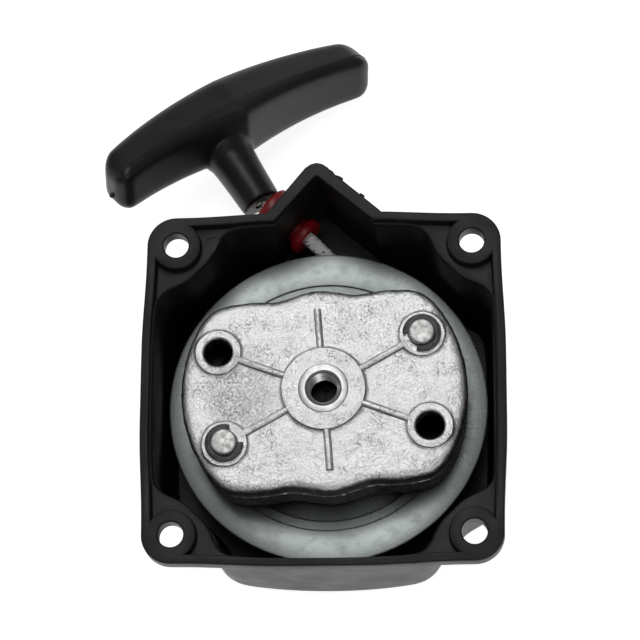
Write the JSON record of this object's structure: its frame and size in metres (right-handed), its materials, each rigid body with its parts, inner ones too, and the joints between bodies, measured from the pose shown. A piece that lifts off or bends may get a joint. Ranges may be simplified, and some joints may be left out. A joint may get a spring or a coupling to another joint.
{
  "type": "recoil starter",
  "caption": "Pull-rope recoil starter with square flanged housing, metal rope reel, cast rotor with pawls and a T-grip on a braided rope.",
  "frame": {"origin": "on the spool axis at the flat outer face of the closed end", "axes": "+Z out of the open mouth towards the engine, +Y towards the rope outlet"},
  "size_m": [0.1005, 0.1455, 0.04],
  "materials": {
    "housing_plastic": "fine grained moulding",
    "handle_plastic": "satin moulding",
    "guide_plastic": "gloss",
    "reel_metal": "satin zinc plated",
    "cast_metal": "rough die-cast skin",
    "pin_steel": "turned",
    "phosphate_steel": "dark phosphate",
    "spring_steel": "oiled spring steel",
    "rope_braid": "braided"
  },
  "bodies": {
    "housing_body": {"housing": "housing_plastic", "rope_guide": "guide_plastic", "spring_case": "pin_steel", "recoil_spring": "spring_steel", "reel_washer": "pin_steel", "reel_screw": "phosphate_steel", "rope_run": "rope_braid"},
    "reel_body": {"rope_reel": "reel_metal", "rope_winding": "rope_braid"},
    "rotor_body": {"rotor": "cast_metal", "crank_thread_insert": "pin_steel", "pawl_pin_1": "pin_steel", "pawl_pin_2": "pin_steel", "pawl_clip_1": "phosphate_steel", "pawl_clip_2": "phosphate_steel", "pawl_spring_1": "spring_steel", "pawl_spring_2": "spring_steel"},
    "pawl_body_1": {"pawl_1": "phosphate_steel"},
    "pawl_body_2": {"pawl_2": "phosphate_steel"},
    "handle_body": {"handle_grip": "handle_plastic", "rope_in_handle": "rope_braid", "knot_washer": "pin_steel", "handle_knot": "rope_braid"}
  },
  "joints": [
    {"name": "reel_spin", "type": "hinge", "parent": "housing_body", "child": "reel_body", "pos_m": [0, 0, 0.0155], "axis": [0, 0, 1], "range_deg": [0, 1440], "deforming": ["recoil_spring"]},
    {"name": "handle_pull", "type": "slide", "parent": "housing_body", "child": "handle_body", "axis": [-0.5299, 0.848, 0], "range_m": [0, 0.56], "deforming": ["rope_run"]},
    {"name": "rotor_spin", "type": "hinge", "parent": "housing_body", "child": "rotor_body", "pos_m": [0, 0, 0.034], "axis": [0, 0, 1], "continuous": true},
    {"name": "pawl_1_swing", "type": "hinge", "parent": "rotor_body", "child": "pawl_body_1", "pos_m": [0.02409, 0.01358, 0.028], "axis": [0, 0, 1], "range_deg": [-7.5, 22]},
    {"name": "pawl_2_swing", "type": "hinge", "parent": "rotor_body", "child": "pawl_body_2", "pos_m": [-0.02409, -0.01358, 0.028], "axis": [0, 0, 1], "range_deg": [-7.5, 22]}
  ],
  "couplings": [
    {"joint": "handle_pull", "follows": "reel_spin", "m_per_rad": 0.022}
  ]
}
